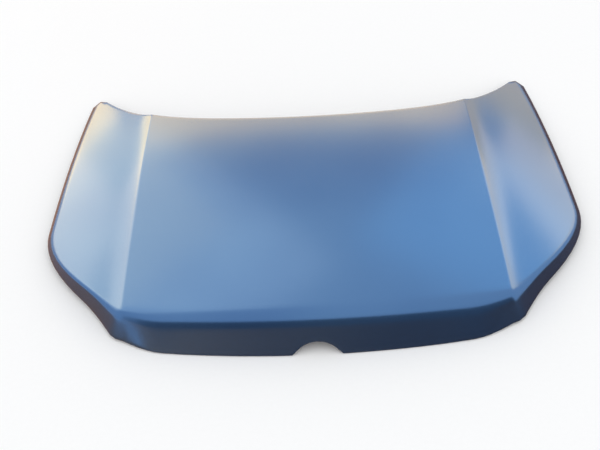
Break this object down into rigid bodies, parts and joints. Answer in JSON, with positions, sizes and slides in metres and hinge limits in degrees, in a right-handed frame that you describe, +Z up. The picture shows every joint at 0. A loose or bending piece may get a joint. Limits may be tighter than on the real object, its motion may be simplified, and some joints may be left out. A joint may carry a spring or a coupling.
{
  "type": "car bonnet",
  "caption": "Bare steel car bonnet with two long creases and a round badge notch, hemmed round a ribbed inner frame with hinge pads and a lock striker.",
  "frame": {"origin": "centre of the bounding box, on the floor that the bonnet lies on", "axes": "+X across the car to the right seen from the front, +Y rearwards, towards the windscreen, +Z up"},
  "size_m": [1.4926, 1.0738, 0.112],
  "materials": {
    "skin_paint": "satin metallic",
    "frame_paint": "matt primer coat",
    "zinc_steel": "zinc plated",
    "striker_steel": "plain",
    "mastic": "matt"
  },
  "bodies": {
    "root": {"outer_skin": "skin_paint", "inner_frame": "frame_paint", "hinge_right_plate": "zinc_steel", "hinge_right_nut_1": "zinc_steel", "hinge_right_nut_2": "zinc_steel", "hinge_left_plate": "zinc_steel", "hinge_left_nut_1": "zinc_steel", "hinge_left_nut_2": "zinc_steel", "latch_plate": "zinc_steel", "latch_nut_1": "zinc_steel", "latch_nut_2": "zinc_steel", "striker_plate": "zinc_steel", "striker_bolt_1": "zinc_steel", "striker_bolt_2": "zinc_steel", "striker_loop": "striker_steel", "mastic_dab_1": "mastic", "mastic_dab_2": "mastic", "mastic_dab_3": "mastic", "mastic_dab_4": "mastic", "mastic_dab_5": "mastic", "mastic_dab_6": "mastic", "mastic_dab_7": "mastic", "mastic_dab_8": "mastic", "mastic_dab_9": "mastic", "mastic_dab_10": "mastic", "mastic_dab_11": "mastic", "mastic_dab_12": "mastic", "mastic_dab_13": "mastic", "mastic_dab_14": "mastic", "mastic_dab_15": "mastic", "mastic_dab_16": "mastic", "mastic_dab_17": "mastic", "mastic_dab_18": "mastic", "mastic_dab_19": "mastic", "mastic_dab_20": "mastic", "mastic_dab_21": "mastic", "mastic_dab_22": "mastic", "mastic_dab_23": "mastic", "mastic_dab_24": "mastic", "mastic_dab_25": "mastic", "mastic_dab_26": "mastic", "mastic_dab_27": "mastic", "mastic_dab_28": "mastic"}
  },
  "joints": []
}
